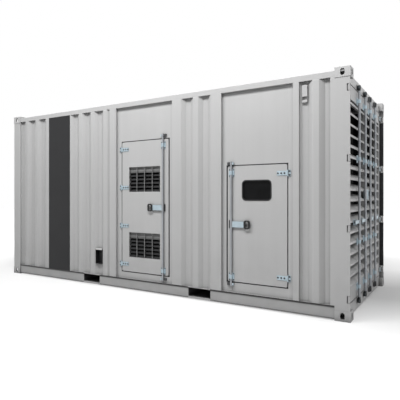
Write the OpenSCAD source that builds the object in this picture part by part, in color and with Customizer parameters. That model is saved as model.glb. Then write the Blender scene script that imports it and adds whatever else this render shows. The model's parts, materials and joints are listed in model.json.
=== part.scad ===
// Containerised diesel generator: a steel container housing with louvred end doors
// and two service doors on one long side.
// Frame: origin on the ground at the centre of the footprint, +X towards the louvred
// end, -Y towards the service doors, +Z up. Stations run from the blind end, and
// depths run inwards from the outer face of the corner castings.

/* [Envelope] */
// Overall length over the corner castings
length = 6058; // [6000:1:6400]
// Overall width over the corner castings
width = 2438; // [2400:1:2600]
// Overall height over the corner castings
height = 2896; // [2880:1:3000]

/* [Corner castings] */
// Casting size along the length
casting_l = 178; // [170:1:185]
// Casting size across the width
casting_w = 162; // [156:1:170]
// Casting height
casting_h = 118; // [114:1:124]
// Casting top and bottom plate
casting_plate = 24; // [18:1:28]
// Casting side wall
casting_wall = 16; // [12:1:20]
// Length of the top and bottom apertures
aperture_l = 124; // [118:1:128]
// Width of the top and bottom apertures
aperture_w = 63.5; // [60:0.5:66]
// Height of the side and end apertures
side_aperture_h = 79; // [74:1:82]
// Width of the side and end apertures
side_aperture_w = 51; // [48:1:54]

/* [Frame] */
// Depth of the wall faces behind the casting faces
wall_inset = 4; // [3:0.5:8]
// Height of the underside of the bottom side rails
rail_z = 15; // [10:1:20]
// Height of the top of the bottom side rails
rail_top = 170; // [165:1:185]
// Plate of the bottom side rails
rail_t = 6; // [4:0.5:8]
// Depth of the bottom rail's web behind the wall face
web_setback = 12; // [8:1:16]
// Flange width of the bottom side rails
rail_flange = 58; // [50:1:70]
// Height of the top side rails
top_rail_h = 70; // [60:1:80]
// Width of the top side rails
top_rail_w = 60; // [50:1:70]
// Drop from the top of the castings to the top of the rails
top_drop = 36; // [30:1:44]
// Height of the header over the louvred end doors
header_h = 109; // [100:1:120]
// Plate of the corner posts and bay posts
post_t = 6; // [4:0.5:8]
// Corner post leg along the long side at the blind end
blind_post_l = 178; // [170:1:190]
// Corner post leg across the blind end
blind_post_w = 110; // [100:1:130]
// Corner post leg along the long side at the louvred end
louvre_post_l = 226; // [215:1:240]
// Return of the post plates behind the wall faces
post_return = 46; // [44:1:60]

/* [Floor and fork pockets] */
// Thickness of the floor
floor_t = 28; // [20:1:34]
// Depth of the floor edge behind the casting faces
floor_inset = 96; // [94:1:120]
// Spacing of the cross members
joist_pitch = 300; // [270:5:340]
// Width of a cross member
joist_w = 45; // [40:1:55]
// Height of a cross member
joist_h = 122; // [110:1:125]
// Plate of the cross members
joist_t = 5; // [4:0.5:7]
// Distance between the centres of the fork pockets
fork_spacing = 2050; // [1950:5:2150]
// Clear width of a fork pocket
fork_w = 355; // [340:1:370]
// Clear height of a fork pocket
fork_h = 118; // [112:1:120]
// Height of a fork pocket's floor
fork_z = 37; // [34:1:38]
// Plate of the fork pockets
fork_t = 6; // [4:0.5:7]

/* [Corrugated sheet] */
// Pitch of the corrugation
wave_pitch = 276; // [265:1:285]
// Depth of the corrugation
wave_d = 36; // [32:1:38]
// Run of one slope of the corrugation
wave_slope = 63; // [56:1:68]
// Flat at the bottom of a trough
wave_flat = 74; // [68:1:80]
// Thickness of the sheet
sheet_t = 3; // [2:0.5:4]
// Distance from the louvre bay's post to the last trough before it
left_wave_in = 333; // [320:1:345]
// Distance from the louvred end's post to the last trough before it
right_wave_in = 128; // [120:1:136]
// Depth of the roof's corrugation
roof_wave_d = 20; // [16:1:24]

/* [Sign panel] */
// Shift of the sign panel from the middle of the left wall towards the blind end
sign_shift = 48; // [0:1:90]
// Width of the sign panel
sign_w = 525; // [480:1:560]
// Thickness of the sign panel
sign_t = 3; // [2:0.5:3]

/* [Door bays] */
// Depth of the recessed bay panels behind the wall faces
recess = 36; // [34:1:42]
// Thickness of the bay panels
panel_t = 4; // [3:0.5:6]
// Depth of the door frames behind the bay panels
frame_d = 48; // [46:1:56]
// Width of the stop that the doors close on
stop_w = 26; // [22:1:34]
// Gap around the side doors
door_gap = 13; // [10:0.5:15]
// Thickness of the side doors
leaf_t = 42; // [36:1:42]
// How far the side doors stand proud of the bay panels
leaf_proud = 2; // [1:0.5:4]
// Width of the louvre bay
bay1_w = 1067; // [1055:1:1080]
// Width of the flat post before the louvre bay
bay1_post = 135; // [125:1:150]
// Width of the flat post after the louvre bay
bay1_post_end = 158; // [140:1:165]
// Width of the window bay
bay2_w = 984; // [975:1:990]
// Width of the flat post before the window bay
bay2_post = 163; // [150:1:170]
// Width of the flat post after the window bay
bay2_post_end = 76; // [70:1:90]
// Width of the corrugated wall between the bays
middle_wall_w = 477; // [460:1:500]
// Width of the corrugated wall between the window bay and the louvred end
right_wall_w = 369; // [355:1:385]

/* [Louvre door] */
// Distance from the bay's edge to the door's hinged edge
door1_in = 102; // [96:1:108]
// Distance from the louvre door's free edge to the bay's edge
door1_side = 84; // [78:1:92]
// Height of the bottom of the louvre door
door1_z = 274; // [264:1:282]
// Height of the panel over the louvre door
head1_h = 522; // [495:1:545]
// Distance from the hinged edge to the vents
vent_in = 140; // [135:1:150]
// Distance from the vents to the door's free edge
vent_side = 151; // [145:1:160]
// Height of a vent
vent_h = 378; // [365:1:385]
// Height of the lower vent above the door's bottom
vent_low = 222; // [212:1:232]
// Distance from the door's top to the upper vent
vent_top_in = 387; // [370:1:405]
// Number of columns in a vent
vent_columns = 4; // [3:1:6]
// Number of slats in a vent
vent_slats = 5; // [4:1:6]

/* [Window door] */
// Distance from the bay's edge to the door's free edge
door2_in = 83; // [78:1:90]
// Distance from the window door's hinged edge to the bay's edge
door2_side = 82; // [76:1:90]
// Height of the bottom of the window door
door2_z = 305; // [296:1:314]
// Height of the panel over the window door
head2_h = 958; // [930:1:980]
// Distance from the free edge to the window
window_in = 214; // [205:1:224]
// Width of the window opening
window_w = 394; // [380:1:405]
// Height of the window opening
window_h = 252; // [242:1:262]
// Distance from the door's top to the window opening
window_top_in = 194; // [184:1:205]
// Corner radius of the window opening
window_r = 48; // [40:1:54]
// Width of the window gasket
gasket_w = 14; // [10:1:18]
// Thickness of the pane
pane_t = 8; // [6:1:10]

/* [Side door hardware] */
// Radius of the hinge knuckles
knuckle_r = 9; // [8:0.5:10]
// Radius of the hinge pins
pin_r = 5; // [4:0.5:6]
// Length of the hinge blades
blade_l = 141; // [130:1:148]
// Height of the hinge blades
blade_h = 56; // [50:1:58]
// Height of the hinge plates on the frame
hinge_plate_h = 78; // [74:1:90]
// Width of the hinge plates on the frame
hinge_plate_w = 37; // [32:1:44]
// Thickness of the hinge blades
blade_t = 6; // [5:0.5:7]
// Radius of the lock rods on the side doors
side_rod_r = 13; // [11:0.5:14]
// Distance from a door's free edge to its lock rod
rod_in1 = 90; // [82:1:100]
// Distance from the window door's free edge to its lock rod
rod_in2 = 57; // [52:1:66]
// How far the louvre door's lock rod reaches past it
rod_past1 = 78; // [70:1:84]
// How far the window door's lock rod reaches past it
rod_past2 = 60; // [54:1:66]
// Length of the handle plates on the side doors
side_handle_l = 200; // [185:1:215]
// Width of the grips on the side doors' handles
grip_ring_w = 88; // [80:1:96]
// Height of the grips on the side doors' handles
grip_ring_h = 112; // [104:1:120]
// Height of the louvre door's handle above the middle between its vents
handle1_up = 75; // [60:1:90]
// Height of the window above the window door's handle
handle2_drop = 317; // [300:1:330]
// Height of the handle plates on the side doors
side_grip_h = 78; // [70:1:86]
// Distance from a side door's top and bottom to its end hinges
hinge_end = 112; // [104:1:122]
// Number of hinges on the louvre door
door1_hinges = 4; // [3:1:5]
// Number of hinges on the window door
door2_hinges = 2; // [2:1:3]
// Distance from a side door's top to its upper rod guide
guide_top_in = 88; // [78:1:98]
// Distance from a side door's bottom to its lower rod guide
guide_low_in = 64; // [58:1:74]

/* [End doors] */
// Depth of the leaves' outer face behind the end face of the castings
end_recess = 55; // [52:1:60]
// Thickness of an end leaf
end_leaf_t = 90; // [80:1:95]
// Distance from the side face to the leaf's hinged edge
end_in = 108; // [106:1:114]
// Gap between the two leaves
end_gap = 10; // [8:1:14]
// Gap between a leaf and its frame
end_clear = 5; // [5:0.5:8]
// Gap above and below the end leaves
end_slot = 14; // [10:1:16]
// Height of the underside of the leaves
end_z = 168; // [162:1:176]
// Width of the hinge stile
hinge_stile = 58; // [54:1:64]
// Width of the meeting stile
meeting_stile = 60; // [56:1:66]
// Height of the bottom rail of a leaf
leaf_bottom_rail = 165; // [155:1:175]
// Height of the top rail of a leaf
leaf_top_rail = 164; // [155:1:175]
// Number of louvre blades in a leaf
louvre_count = 18; // [16:1:20]
// Distance from the opening's top to the bottom edge of the highest blade
louvre_top_in = 58; // [50:1:66]
// Plate of the louvre blades
louvre_t = 4; // [3:0.5:5]
// Height of the turned-down front edge of a blade
louvre_lip = 26; // [20:1:30]
// Rise of a blade from front to back
louvre_rise = 62; // [55:1:70]

/* [End door hardware] */
// Radius of the end lock rods
end_rod_r = 16; // [14:0.5:17]
// Distance of the inner lock rods from the centre line
rod_inner = 180; // [170:1:190]
// Distance of the outer lock rods from the centre line
rod_outer = 583; // [570:1:600]
// Depth of the lock rods' axes behind the end face
rod_depth = 28; // [27:0.5:30]
// Height of the end door handles
end_handle_z = 1106; // [1090:1:1120]
// Length of the end door handles
end_handle_l = 235; // [225:1:245]
// Number of hinges on an end leaf
end_hinge_count = 4; // [3:1:5]
// Distance from an end leaf's bottom to its lowest hinge
end_hinge_low = 87; // [80:1:96]
// Distance from an end leaf's top to its highest hinge
end_hinge_high = 82; // [74:1:92]
// Distance from an end leaf's top and bottom to the nearest rod guide
guide_edge = 127; // [115:1:140]
// Distance between the two lower rod guides
guide_low_step = 560; // [530:1:590]
// Distance between the two upper rod guides
guide_high_step = 720; // [680:1:760]
// How far the end lock rods reach below their leaf
rod_below = 80; // [72:1:86]
// How far the end lock rods reach above their leaf
rod_above = 75; // [68:1:80]
// Height of the lock plates above the end door handles
lock_plate_up = 274; // [260:1:290]
// Height of the lock plates
lock_plate_h = 135; // [120:1:150]
// Height of a hinge notch in the post
notch_h = 84; // [78:1:92]

/* [Small fittings] */
// Width of the switch box
box_w = 134; // [128:1:138]
// Height of the bottom of the switch box
box_z = 344; // [335:1:355]
// Height of the switch box
box_h = 223; // [215:1:230]
// Depth of the switch box
box_d = 75; // [65:1:85]
// Width of the wall vent
wall_vent_w = 64; // [58:1:70]
// Height of the wall vent
wall_vent_h = 207; // [195:1:215]
// Distance from the top rail to the wall vent
wall_vent_drop = 43; // [36:1:56]
// Depth of the wall vent
wall_vent_d = 24; // [18:1:28]

/* [Hidden] */

$fn = 48;
// Overcut that lets a cutting shape pass a face
cut = 1;
// Radial clearance of pins and rods in their bores
run_fit = 0.08;
// Gap between the knuckles of a hinge
knuckle_gap = 0.5;
// Gap between a flange and a piece that slips past it
slip = 2;
// Gap between a side hinge's knuckles and the leaf's face
knuckle_stand = 1;
// Gap between a side lock rod and the leaf's face
rod_stand = 5;
// Height of a cam on a lock rod
cam_h = 30;
// Distance from a lock rod's end to its cam
cam_end = 12;
// Height of the rod guides on the side doors
side_guide_h = 102;
// Height of the rod guides on the end doors
end_guide_h = 92;
// Corner radius of the side doors
leaf_r = 20;
// Thickness of a vent's frame
vent_rim = 3;
// Height of the sloping plate inside the top of a vent
vent_plate_h = 90;
// Thickness of the handle plates
handle_t = 8;
// Distance from a handle's end to the middle of its catch
catch_in = 26;
// Height of the handle plates on the end doors
end_grip_h = 40;

half_l = length / 2;
half_w = width / 2;
rail_end = half_l - casting_l;
top_rail_top = height - top_drop;
top_rail_z = top_rail_top - top_rail_h;
web_d = wall_inset + web_setback;
// Inner face of the bottom rails' webs
web_y = half_w - web_d - rail_t;
// Edges of the fork pockets from the middle of the length
fork_near = (fork_spacing - fork_w) / 2;
fork_far = (fork_spacing + fork_w) / 2;
panel_d = wall_inset + recess;
leaf_d = panel_d - leaf_proud;
stop_d = panel_d + frame_d - panel_t;
sheet_back = wall_inset + wave_d + sheet_t;
louvre_post_s = length - louvre_post_l;
// A leaf's outer face, inner face and frame plane at the louvred end
end_face = half_l - end_recess;
end_back = end_face - end_leaf_t;
end_stop_x = end_back - end_clear;
end_edge = half_w - end_in;
end_top = top_rail_top - header_h - end_slot;
rod_x = half_l - rod_depth;
// Pins of the end hinges
end_pin_r = 8;
end_knuckle_r = 13;
end_pin_depth = 18;
end_pin_in = 16;
end_pin_x = half_l - end_pin_depth;
end_pin_y = half_w - end_pin_in;
end_blade_t = 12;
end_blade_l = 150;
// Stations of the door bays, from the louvred end back
bay2_s = louvre_post_s - right_wall_w - bay2_post_end - bay2_w;
bay1_s = bay2_s - bay2_post - middle_wall_w - bay1_post_end - bay1_w;
left_wall_end = bay1_s - bay1_post;
left_trough_s = left_wall_end - left_wave_in;
sign_s = (blind_post_l + left_wall_end - sign_w) / 2 - sign_shift;
// Side door lines
door1_s = bay1_s + door1_in;
door2_s = bay2_s + door2_in;
door1_w = bay1_w - door1_in - door1_side;
door2_w = bay2_w - door2_in - door2_side;
vent_w = door1_w - vent_in - vent_side;
hinge1_s = door1_s - knuckle_r;
hinge2_s = door2_s + door2_w + knuckle_r;
hinge_d = leaf_d - knuckle_r - knuckle_stand;
rod1_s = door1_s + door1_w - rod_in1;
rod2_s = door2_s + rod_in2;
side_rod_d = leaf_d - side_rod_r - rod_stand;
door1_h = top_rail_z - head1_h - door_gap - door1_z;
door2_h = top_rail_z - head2_h - door_gap - door2_z;
vent_high = door1_h - vent_top_in - vent_h;
handle1_z = (vent_low + vent_h + vent_high) / 2 + handle1_up;
window_z = door2_h - window_top_in - window_h;
handle2_z = window_z - handle2_drop;
// Places of the small fittings
box_s = left_trough_s + wave_slope + wave_flat / 2 - box_w / 2;
wall_vent_z = top_rail_z - wall_vent_drop - wall_vent_h;
right_trough_s = louvre_post_s - right_wave_in;
wall_vent_s = right_trough_s - wave_pitch + wave_slope + wave_flat / 2 - wall_vent_w / 2;

grey = [0.72, 0.72, 0.72];
zinc = [0.80, 0.81, 0.83];
black = [0.08, 0.08, 0.08];
dark_grey = [0.20, 0.20, 0.20];

// Helpers: extrude a profile along an axis, or draw with stations and depths

// Extrude a profile of (y, z) along X
module along_x(x0, x1) {
    translate([x0, 0, 0]) rotate([90, 0, 90]) linear_extrude(x1 - x0) children();
}

// Extrude a profile of (x, z) along Y
module along_y(y0, y1) {
    translate([0, y1, 0]) rotate([90, 0, 0]) linear_extrude(y1 - y0) children();
}

// Extrude a plan of (x, y) along Z
module along_z(z0, z1) {
    translate([0, 0, z0]) linear_extrude(z1 - z0) children();
}

// Draw in stations and depths from the front long side
module front_side() {
    translate([-half_l, -half_w, 0]) children();
}

// Copy a piece to the other long side
module both_sides() {
    children();
    mirror([0, 1, 0]) children();
}

// Copy a piece to all four corners
module four_corners() {
    both_sides() children();
    mirror([1, 0, 0]) both_sides() children();
}

// A box from its two corners
module block(low, high) {
    translate(low) cube(high - low);
}

// A rounded slot of a given size, centred, cut along Z
module slot(size_x, size_y, depth) {
    wide = size_x > size_y;
    r = min(size_x, size_y) / 2;
    run = [size_x / 2 - r, size_y / 2 - r];
    linear_extrude(depth, center = true) {
        square([wide ? 2 * run[0] : size_x, wide ? size_y : 2 * run[1]], center = true);
        translate(run) circle(r);
        translate(-run) circle(r);
    }
}

// A rounded rectangle, centred
module rounded_plan(w, h, r) {
    square([w, h - 2 * r], center = true);
    square([w - 2 * r, h], center = true);
    for (i = [-1, 1]) for (j = [-1, 1]) translate([i * (w / 2 - r), j * (h / 2 - r)]) circle(r);
}

// The section of a corrugated sheet between two stations, its ribs on the axis
module wave_plan(from, to, phase, depth) {
    first = floor((from - phase) / wave_pitch) - 1;
    last = ceil((to - phase) / wave_pitch) + 1;
    trough = [[0, 0], [wave_slope, depth], [wave_slope + wave_flat, depth], [2 * wave_slope + wave_flat, 0]];
    face = [for (k = [first:last]) for (p = trough) p + [phase + k * wave_pitch, 0]];
    back = [for (i = [len(face) - 1:-1:0]) face[i] + [0, sheet_t]];
    intersection() {
        polygon(concat(face, back));
        translate([from, -cut]) square([to - from, depth + sheet_t + 2 * cut]);
    }
}

// Corner castings, posts and rails

// A hollow casting with its outer faces at the origin, apertures in three of them
module casting() {
    difference() {
        cube([casting_l, casting_w, casting_h]);
        translate([casting_wall, casting_wall, casting_plate])
            cube([casting_l - 2 * casting_wall, casting_w - 2 * casting_wall, casting_h - 2 * casting_plate]);
        translate([casting_l / 2, casting_w / 2, 0]) slot(aperture_l, aperture_w, 2 * casting_plate + cut);
        translate([casting_l / 2, 0, casting_h / 2]) rotate([90, 0, 0])
            slot(side_aperture_w, side_aperture_h, 2 * casting_wall + cut);
        translate([0, casting_w / 2, casting_h / 2]) rotate([90, 0, 90])
            slot(side_aperture_w, side_aperture_h, 2 * casting_wall + cut);
    }
}

module bottom_castings() {
    color(grey) four_corners() translate([-half_l, -half_w, 0]) casting();
}

module top_castings() {
    color(grey) four_corners() translate([-half_l, -half_w, height]) mirror([0, 0, 1]) casting();
}

module blind_end_posts() {
    color(grey) both_sides() front_side() along_z(casting_h, height - casting_h) {
        translate([wall_inset, wall_inset]) square([blind_post_l - wall_inset, post_t]);
        translate([wall_inset, wall_inset]) square([post_t, blind_post_w - wall_inset]);
        translate([blind_post_l - post_t, wall_inset]) square([post_t, post_return]);
        translate([wall_inset, blind_post_w - post_t]) square([post_return, post_t]);
    }
}

// Heights of the end hinges
end_hinge_heights = [
    for (i = [0:end_hinge_count - 1])
        end_z + end_hinge_low + i * (end_top - end_z - end_hinge_low - end_hinge_high) / (end_hinge_count - 1)
];

module louvre_end_posts() {
    inner_d = end_in - end_clear;
    face_s = half_l + end_face - end_blade_t;
    stop_s = half_l + end_stop_x;
    notch_s = half_l + end_pin_x - end_knuckle_r - 2 * end_clear;
    lug_t = 10;
    color(grey) both_sides() front_side() {
        difference() {
            along_y(wall_inset, wall_inset + post_t) {
                translate([length - casting_l, casting_h])
                    square([casting_l - wall_inset, height - 2 * casting_h]);
                translate([louvre_post_s, rail_top])
                    square([louvre_post_l - casting_l, top_rail_z - rail_top]);
            }
            for (z = end_hinge_heights) block(
                [notch_s, wall_inset - cut, z - notch_h / 2],
                [length, wall_inset + post_t + cut, z + notch_h / 2]
            );
        }
        along_z(rail_top, top_rail_z)
            translate([louvre_post_s, wall_inset + post_t]) square([post_t, post_return - post_t]);
        along_z(casting_h, height - casting_h) {
            translate([face_s - post_t, wall_inset + post_t]) square([post_t, inner_d - wall_inset - post_t]);
            translate([stop_s - post_t, inner_d - post_t]) square([face_s - stop_s + post_t, post_t]);
            translate([stop_s - post_t, inner_d]) square([post_t, stop_w]);
        }
        for (z = end_hinge_heights) for (side = [-1, 1]) {
            lug_z = z + side * (notch_h / 2 + lug_t / 2) - lug_t / 2;
            block(
                [face_s, wall_inset + post_t, lug_z],
                [half_l + end_pin_x + end_knuckle_r, half_w - end_pin_y + end_knuckle_r, lug_z + lug_t]
            );
        }
        for (z = end_hinge_heights)
            translate([half_l + end_pin_x, half_w - end_pin_y, z - notch_h / 2 - lug_t / 2])
                cylinder(r = end_pin_r, h = notch_h + lug_t);
    }
}

// The section of a bottom side rail, in depths and heights
module rail_section() {
    translate([wall_inset, rail_top - rail_t]) square([rail_flange, rail_t]);
    translate([web_d, rail_z]) square([rail_t, rail_top - rail_z]);
    translate([wall_inset + slip, rail_z]) square([rail_flange - slip, rail_t]);
}

// The rails between the fork pockets and beyond them
module bottom_side_rails() {
    runs = [[-rail_end, -fork_far], [-fork_near, fork_near], [fork_far, rail_end]];
    color(grey) both_sides() translate([0, -half_w, 0])
        for (run = runs) along_x(run[0], run[1]) rail_section();
}

// The rails over and under the mouths of the fork pockets
module fork_straps() {
    color(grey) both_sides() translate([0, -half_w, 0])
        for (run = [[-fork_far, -fork_near], [fork_near, fork_far]]) along_x(run[0], run[1]) difference() {
            rail_section();
            translate([0, fork_z]) square([rail_flange, fork_h]);
        }
}

module top_side_rails() {
    color(grey) both_sides() translate([0, -half_w + wall_inset, top_rail_z]) along_x(-rail_end, rail_end)
        difference() {
            square([top_rail_w, top_rail_h]);
            translate([post_t, post_t]) square([top_rail_w - 2 * post_t, top_rail_h - 2 * post_t]);
        }
}

// The sill and the header of the blind end
module blind_end_rails() {
    across = half_w - casting_w;
    over = half_w - blind_post_w;
    color(grey) {
        block([-half_l + wall_inset, -across, rail_z], [-rail_end, across, casting_h]);
        block([-half_l + wall_inset, -over, casting_h], [-rail_end, over, rail_top]);
        block([-half_l + wall_inset, -across, height - casting_h], [-rail_end, across, top_rail_top]);
    }
}

// The sill and the header of the louvred end
module louvre_end_rails() {
    between = half_w - casting_w;
    inner = end_edge + end_clear;
    sill_top = end_z - end_slot;
    header_z = end_top + end_slot;
    color(grey) {
        along_x(end_stop_x, end_face) {
            translate([-between, rail_z]) square([2 * between, casting_h - rail_z]);
            translate([-inner, casting_h]) square([2 * inner, sill_top - casting_h]);
            translate([-inner, header_z]) square([2 * inner, height - casting_h - header_z]);
            translate([-between, height - casting_h]) square([2 * between, casting_h - top_drop]);
        }
        block([rail_end, -between, height - casting_h], [end_stop_x, between, top_rail_top]);
    }
}

// Floor and underframe

// One channel across the underframe, coped under the rails' flanges
module cross_member() {
    flange_end = half_w - wall_inset - rail_flange;
    difference() {
        along_y(-web_y, web_y) translate([0, rail_top - joist_h]) difference() {
            square([joist_w, joist_h]);
            translate([joist_t, joist_t]) square([joist_w, joist_h - 2 * joist_t]);
        }
        both_sides() block(
            [-cut, -web_y - cut, rail_top - rail_t],
            [joist_w + cut, -flange_end, rail_top + cut]
        );
    }
}

module cross_members() {
    count = floor((rail_end + end_stop_x - 2 * joist_w) / joist_pitch);
    keep_out = fork_w / 2 + fork_t + slip;
    color(dark_grey) for (i = [0:count]) {
        x = -rail_end + joist_w + i * joist_pitch;
        off = abs(abs(x + joist_w / 2) - fork_spacing / 2);
        if (off > keep_out + joist_w / 2) translate([x, 0, 0]) cross_member();
    }
}

// The upright plates of the fork pockets
module fork_pocket_sides() {
    color(dark_grey) for (side = [-1, 1]) for (edge = [-1, 1])
        translate([side * fork_spacing / 2 + edge * (fork_w + fork_t) / 2, 0, fork_z]) block(
            [-fork_t / 2, -web_y, -fork_t],
            [fork_t / 2, web_y, fork_h + fork_t]
        );
}

// The plates over and under the fork pockets
module fork_pocket_plates() {
    color(dark_grey) for (side = [-1, 1]) for (z = [fork_z - fork_t, fork_z + fork_h])
        translate([side * fork_spacing / 2, 0, z]) block([-fork_w / 2, -web_y, 0], [fork_w / 2, web_y, fork_t]);
}

module floor_plate() {
    edge = half_w - floor_inset;
    color(dark_grey) block(
        [-half_l + wall_inset + post_return + floor_t, -edge, rail_top],
        [end_stop_x - post_t - slip, edge, rail_top + floor_t]
    );
}

// Walls and roof

module roof_panel() {
    edge = half_w - wall_inset - top_rail_w;
    color(grey) along_y(-edge, edge) translate([0, top_rail_top]) mirror([0, 1])
        wave_plan(-rail_end, rail_end, wave_slope - wave_pitch / 2, roof_wave_d);
}

module blind_end_wall() {
    edge = half_w - blind_post_w;
    color(grey) translate([-half_l + wall_inset, 0, 0]) along_z(rail_top, height - casting_h)
        mirror([1, -1]) wave_plan(-edge, edge, wave_slope - wave_pitch / 2 - wave_flat / 2, wave_d);
}

// A stretch of the long wall between two stations
module long_wall(from, to, phase) {
    translate([0, wall_inset, 0]) along_z(rail_top, top_rail_z) wave_plan(from, to, phase, wave_d);
}

module back_wall() {
    color(grey) mirror([0, 1, 0]) front_side() long_wall(blind_post_l, louvre_post_s, left_trough_s);
}

module front_wall_left() {
    color(grey) front_side() difference() {
        long_wall(blind_post_l, left_wall_end, left_trough_s);
        block([box_s, 0, box_z], [box_s + box_w, sheet_back + cut, box_z + box_h]);
    }
}

module front_wall_middle() {
    from = bay1_s + bay1_w + bay1_post_end;
    color(grey) front_side() long_wall(from, bay2_s - bay2_post, from + slip);
}

module front_wall_right() {
    color(grey) front_side()
        long_wall(bay2_s + bay2_w + bay2_post_end, louvre_post_s, right_trough_s);
}

module sign_panel() {
    color(dark_grey) front_side() block(
        [sign_s, wall_inset - sign_t, rail_top],
        [sign_s + sign_w, wall_inset, top_rail_z]
    );
}

// Door bays

// A flat post with returned edges
module bay_post(from, w) {
    along_z(rail_top, top_rail_z) translate([from, wall_inset]) {
        square([w, post_t]);
        square([post_t, post_return]);
        translate([w - post_t, 0]) square([post_t, post_return]);
    }
}

module bay_posts() {
    color(grey) front_side() {
        bay_post(bay1_s - bay1_post, bay1_post);
        bay_post(bay1_s + bay1_w, bay1_post_end);
        bay_post(bay2_s - bay2_post, bay2_post);
        bay_post(bay2_s + bay2_w, bay2_post_end);
    }
}

// One jamb: panel beside the door, return and stop, from the post to the door's edge
module jamb(from, edge) {
    along_z(rail_top, top_rail_z) translate([0, panel_d]) {
        translate([from, 0]) square([edge - from, panel_t]);
        translate([edge - panel_t, 0]) square([panel_t, frame_d]);
        translate([edge - panel_t, frame_d - panel_t]) square([stop_w + panel_t, panel_t]);
    }
}

// Both jambs of a bay
module jamb_pair(bay_s, bay_w, door_s, door_w) {
    jamb(bay_s, door_s - door_gap);
    translate([bay_s + bay_w, 0, 0]) mirror([1, 0, 0]) jamb(0, bay_s + bay_w - door_s - door_w - door_gap);
}

module bay_jambs() {
    color(grey) front_side() {
        jamb_pair(bay1_s, bay1_w, door1_s, door1_w);
        jamb_pair(bay2_s, bay2_w, door2_s, door2_w);
    }
}

// The panels over and under a door, each with a return and a stop
module panel_pair(door_s, door_w, door_z, door_h) {
    from = door_s - door_gap;
    to = door_s + door_w + door_gap;
    low = door_z - door_gap;
    high = door_z + door_h + door_gap;
    deep = panel_d + frame_d - panel_t;
    block([from, panel_d, high], [to, panel_d + panel_t, top_rail_z]);
    block([from, panel_d, high], [to, deep, high + panel_t]);
    block([from + stop_w, deep, high - stop_w], [to - stop_w, deep + panel_t, high + panel_t]);
    block([from, panel_d, rail_top], [to, panel_d + panel_t, low]);
    block([from, panel_d, low - panel_t], [to, deep, low]);
    block([from + stop_w, deep, low - panel_t], [to - stop_w, deep + panel_t, low + stop_w]);
}

module bay_panels() {
    color(grey) front_side() {
        panel_pair(door1_s, door1_w, door1_z, door1_h);
        panel_pair(door2_s, door2_w, door2_z, door2_h);
    }
}

// Side door hinges

// Heights of the hinges on a side door
function hinge_heights(z, h, count) =
    [for (i = [0:count - 1]) z + hinge_end + i * (h - 2 * hinge_end) / (count - 1)];
heights1 = hinge_heights(door1_z, door1_h, door1_hinges);
heights2 = hinge_heights(door2_z, door2_h, door2_hinges);

// Height of a hinge's middle knuckle
mid_h = blade_h + 2;
// Height of a hinge's end knuckles
end_h = (hinge_plate_h - mid_h) / 2 - knuckle_gap;

// The fixed half of a hinge, with its pin, the plate on the side of -X
module fixed_hinge() {
    plate_to = panel_d - hinge_d;
    for (side = [-1, 1]) translate([0, 0, side * (hinge_plate_h - end_h) / 2]) {
        cylinder(r = knuckle_r, h = end_h, center = true);
        block([-knuckle_r - 2 * slip, 0, -end_h / 2], [-knuckle_r + blade_t, plate_to, end_h / 2]);
    }
    block(
        [-hinge_plate_w, plate_to - blade_t, -hinge_plate_h / 2],
        [-knuckle_r - slip, plate_to, hinge_plate_h / 2]
    );
    cylinder(r = pin_r, h = hinge_plate_h, center = true);
}

// The moving half of a hinge, its blade on the side of +X
module moving_hinge() {
    face = leaf_d - hinge_d;
    difference() {
        union() {
            cylinder(r = knuckle_r, h = mid_h, center = true);
            block([0, face - blade_t, -blade_h / 2], [blade_l, face, blade_h / 2]);
        }
        cylinder(r = pin_r + run_fit, h = mid_h + cut, center = true);
    }
}

module side_hinge_plates() {
    color(zinc) front_side() {
        for (z = heights1) translate([hinge1_s, hinge_d, z]) fixed_hinge();
        for (z = heights2) translate([hinge2_s, hinge_d, z]) mirror([1, 0, 0]) fixed_hinge();
    }
}

module louvre_door_hinges() {
    color(zinc) front_side() for (z = heights1) translate([hinge1_s, hinge_d, z]) moving_hinge();
}

module window_door_hinges() {
    color(zinc) front_side() for (z = heights2)
        translate([hinge2_s, hinge_d, z]) mirror([1, 0, 0]) moving_hinge();
}

// Side door leaves

// A door's slab with rounded corners
module door_slab(s, w, z, h) {
    translate([s + w / 2, leaf_d, z + h / 2]) along_y(0, leaf_t) rounded_plan(w, h, leaf_r);
}

module louvre_door_leaf() {
    color(grey) front_side() difference() {
        door_slab(door1_s, door1_w, door1_z, door1_h);
        for (low = [vent_low, vent_high]) block(
            [door1_s + vent_in, leaf_d - cut, door1_z + low],
            [door1_s + vent_in + vent_w, leaf_d + leaf_t + cut, door1_z + low + vent_h]
        );
    }
}

// One vent: a thin frame in the door, upright bars and a sloping plate inside the top
module vent() {
    bar = 10;
    plate_t = 3;
    low_d = 14;
    high_d = 34;
    top = vent_h - vent_rim;
    column = (vent_w - 2 * vent_rim) / vent_columns;
    along_y(0, leaf_t) difference() {
        square([vent_w, vent_h]);
        translate([vent_rim, vent_rim]) square([vent_w - 2 * vent_rim, vent_h - 2 * vent_rim]);
    }
    for (i = [1:vent_columns - 1])
        translate([vent_rim + i * column, slip, 0]) block([-bar / 2, 0, vent_rim], [bar / 2, bar, top]);
    along_x(vent_rim, vent_w - vent_rim) polygon([
        [low_d, top - vent_plate_h], [low_d + plate_t, top - vent_plate_h],
        [high_d + plate_t, top], [high_d, top]
    ]);
}

// The sloping slats behind a vent's bars
module slat_set() {
    slat_t = 3;
    low_d = 16;
    high_d = 38;
    rise = 34;
    pitch = (vent_h - 2 * vent_rim - vent_plate_h) / vent_slats;
    for (i = [0:vent_slats - 1]) translate([0, 0, vent_rim + slip + i * pitch])
        along_x(vent_rim, vent_w - vent_rim)
            polygon([[low_d, 0], [low_d, slat_t], [high_d, rise + slat_t], [high_d, rise]]);
}

// Put a piece of a vent into both vents of the louvre door
module at_vents() {
    front_side() for (low = [vent_low, vent_high])
        translate([door1_s + vent_in, leaf_d, door1_z + low]) children();
}

module louvre_door_vents() {
    color(grey) at_vents() vent();
}

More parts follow.
